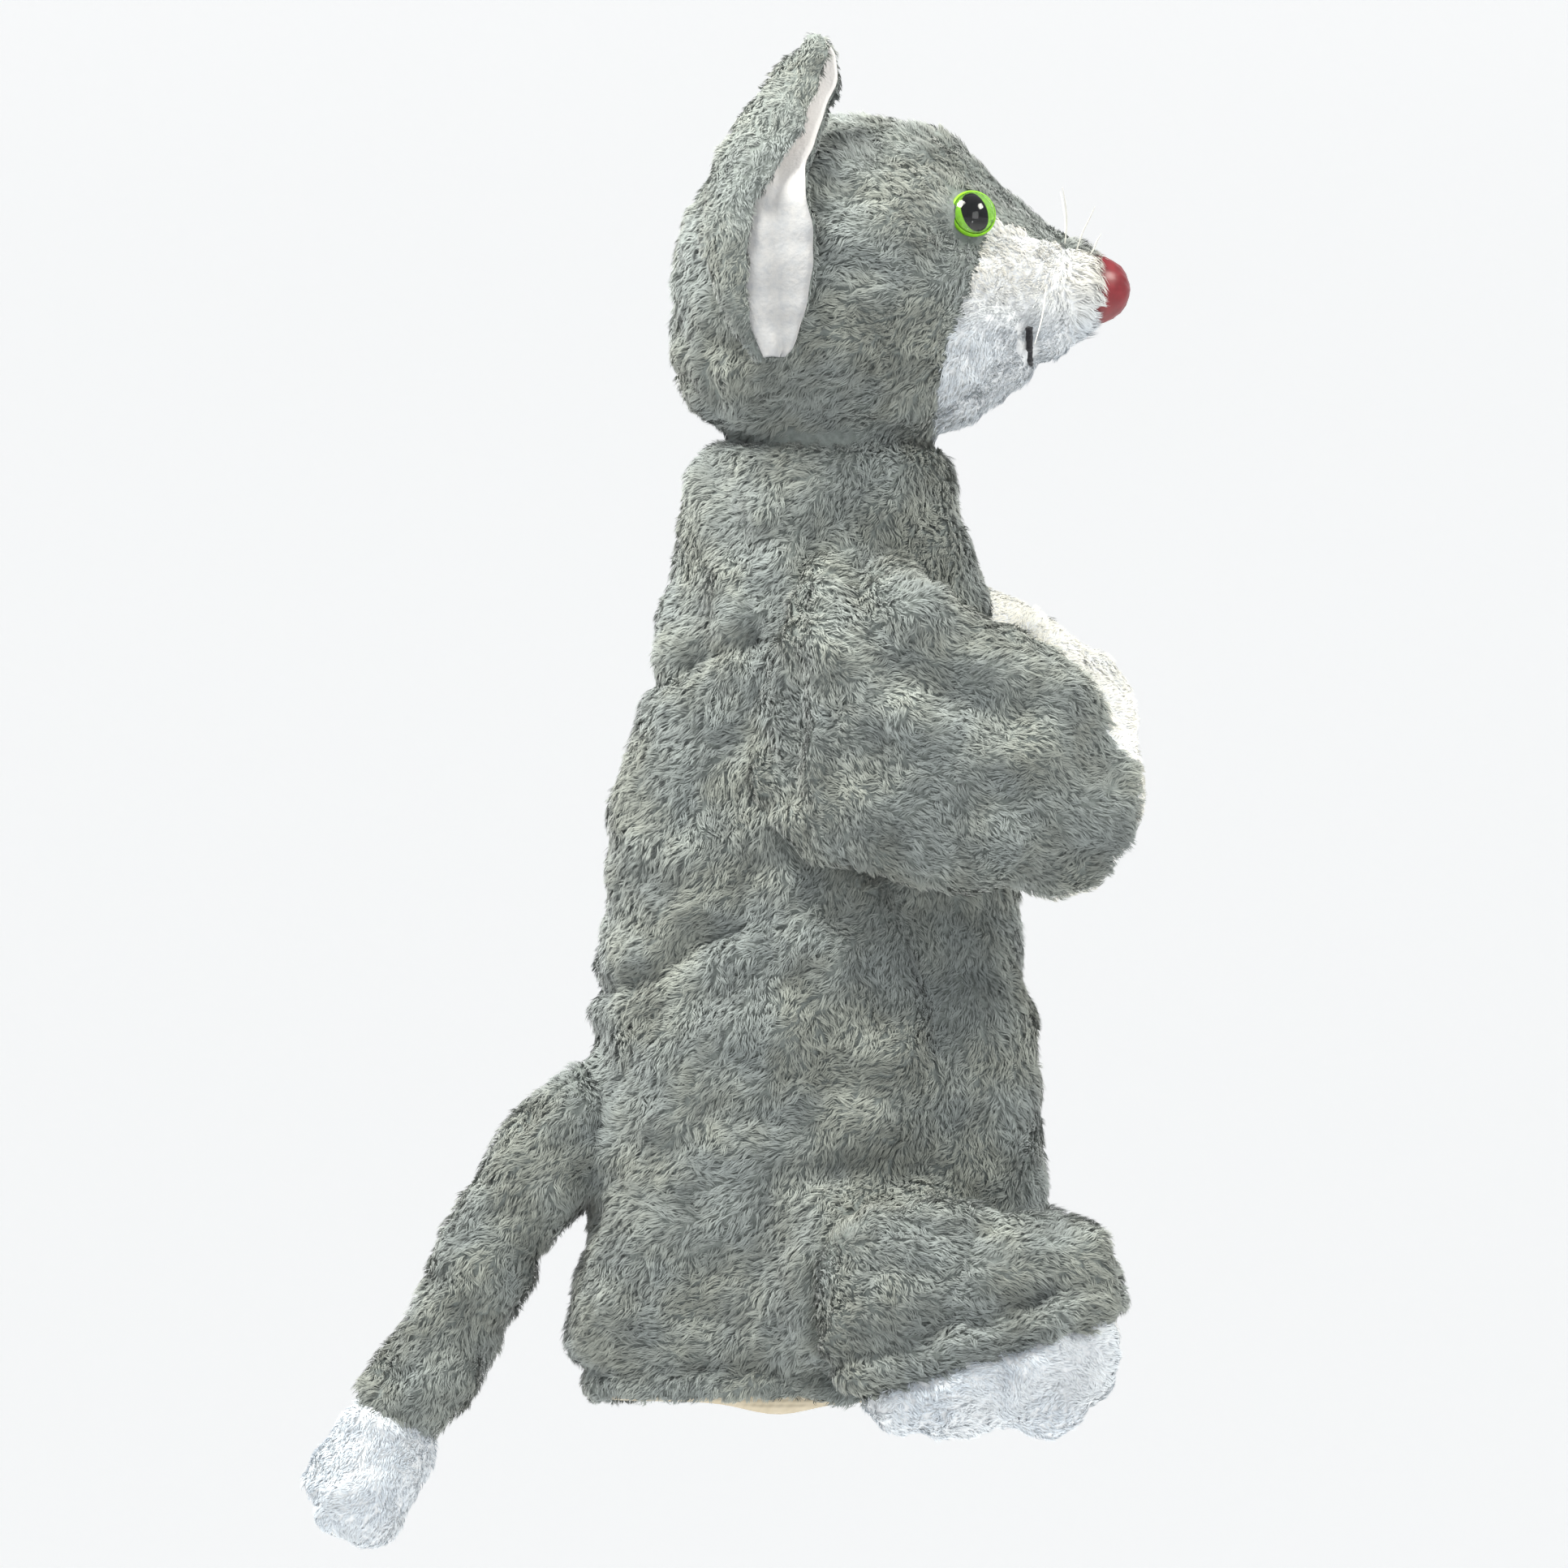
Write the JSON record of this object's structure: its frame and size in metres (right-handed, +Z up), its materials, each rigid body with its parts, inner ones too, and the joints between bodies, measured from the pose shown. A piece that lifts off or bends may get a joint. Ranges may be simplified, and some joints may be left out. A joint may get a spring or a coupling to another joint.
{
  "type": "cat glove puppet",
  "caption": "Plush cat hand puppet with a turning, nodding head, swinging arms with white palms, hanging legs and a tail, worn through the open hem.",
  "frame": {"origin": "middle of the hand opening, at the hem", "axes": "+Z up from the hem to the ears; the cat looks along -Y; its right side is -X"},
  "size_m": [0.1433, 0.222, 0.4026],
  "materials": {
    "grey_plush": "matte",
    "white_plush": "matte",
    "ear_velour": "satin",
    "cotton_lining": "matte",
    "stuffing": "matte",
    "nose_plastic": "satin",
    "eye_green": "gloss",
    "eye_black": "gloss",
    "eye_clear": "gloss",
    "washer_steel": "satin",
    "mouth_thread": "satin",
    "whisker_nylon": "satin",
    "tube_card": "matte",
    "label_tape": "satin"
  },
  "bodies": {
    "body": {"body_right": "grey_plush", "body_left": "grey_plush", "hem_band": "grey_plush", "body_lining": "cotton_lining", "blank_label": "label_tape"},
    "neck": {"neck_collar": "grey_plush"},
    "head": {"head_side_right": "grey_plush", "head_side_left": "grey_plush", "head_gusset": "grey_plush", "muzzle_right": "white_plush", "muzzle_left": "white_plush", "nose": "nose_plastic", "nose_washer": "washer_steel", "mouth_stitch": "mouth_thread", "head_stuffing": "stuffing", "finger_tube": "tube_card", "eye_iris_right": "eye_green", "eye_pupil_right": "eye_black", "eye_dome_right": "eye_clear", "eye_washer_right": "washer_steel", "whiskers_right": "whisker_nylon", "ear_back_right": "grey_plush", "ear_lining_right": "ear_velour", "eye_iris_left": "eye_green", "eye_pupil_left": "eye_black", "eye_dome_left": "eye_clear", "eye_washer_left": "washer_steel", "whiskers_left": "whisker_nylon", "ear_back_left": "grey_plush", "ear_lining_left": "ear_velour"},
    "shoulder_right": {"armhole_ring_right": "grey_plush"},
    "arm_right": {"sleeve_right": "grey_plush", "palm_right": "white_plush", "arm_lining_right": "cotton_lining"},
    "leg_right": {"leg_skin_right": "grey_plush", "sole_right": "white_plush", "leg_stuffing_right": "stuffing"},
    "shoulder_left": {"armhole_ring_left": "grey_plush"},
    "arm_left": {"sleeve_left": "grey_plush", "palm_left": "white_plush", "arm_lining_left": "cotton_lining"},
    "leg_left": {"leg_skin_left": "grey_plush", "sole_left": "white_plush", "leg_stuffing_left": "stuffing"},
    "tail_root": {"tail_seam_ring": "grey_plush"},
    "tail": {"tail_skin": "grey_plush", "tail_tip": "white_plush", "tail_stuffing": "stuffing"}
  },
  "joints": [
    {"name": "head_turn", "type": "hinge", "parent": "body", "child": "neck", "pos_m": [0, -0.004, 0.252], "axis": [0, 0, 1], "range_deg": [-50, 50], "stiffness_Nm_per_rad": 0.4},
    {"name": "head_nod", "type": "hinge", "parent": "neck", "child": "head", "pos_m": [0, -0.004, 0.252], "axis": [1, 0, 0], "range_deg": [-20, 20], "stiffness_Nm_per_rad": 0.6},
    {"name": "arm_right_lift", "type": "hinge", "parent": "body", "child": "shoulder_right", "pos_m": [-0.044, -0.012, 0.184], "axis": [-1, 0, 0], "range_deg": [-30, 40], "stiffness_Nm_per_rad": 0.12},
    {"name": "arm_right_swing", "type": "hinge", "parent": "shoulder_right", "child": "arm_right", "pos_m": [-0.044, -0.012, 0.184], "axis": [0, 0, 1], "range_deg": [-60, 5], "stiffness_Nm_per_rad": 0.12},
    {"name": "arm_left_lift", "type": "hinge", "parent": "body", "child": "shoulder_left", "pos_m": [0.044, -0.012, 0.184], "axis": [-1, 0, 0], "range_deg": [-58, 22], "stiffness_Nm_per_rad": 0.12},
    {"name": "arm_left_swing", "type": "hinge", "parent": "shoulder_left", "child": "arm_left", "pos_m": [0.044, -0.012, 0.184], "axis": [0, -0.309, -0.9511], "range_deg": [-32, 32], "stiffness_Nm_per_rad": 0.12},
    {"name": "leg_right_swing", "type": "hinge", "parent": "body", "child": "leg_right", "pos_m": [-0.0495, -0.032, 0.024], "axis": [-1, 0, 0], "range_deg": [-12, 45], "stiffness_Nm_per_rad": 0.12},
    {"name": "leg_left_swing", "type": "hinge", "parent": "body", "child": "leg_left", "pos_m": [0.0495, -0.032, 0.024], "axis": [-1, 0, 0], "range_deg": [-12, 45], "stiffness_Nm_per_rad": 0.12},
    {"name": "tail_wag", "type": "hinge", "parent": "body", "child": "tail_root", "pos_m": [0, 0.069, 0.07], "axis": [0, 0, 1], "range_deg": [-35, 35], "stiffness_Nm_per_rad": 0.3},
    {"name": "tail_lift", "type": "hinge", "parent": "tail_root", "child": "tail", "pos_m": [0, 0.069, 0.07], "axis": [1, 0, 0], "range_deg": [-4, 70], "stiffness_Nm_per_rad": 0.3}
  ]
}
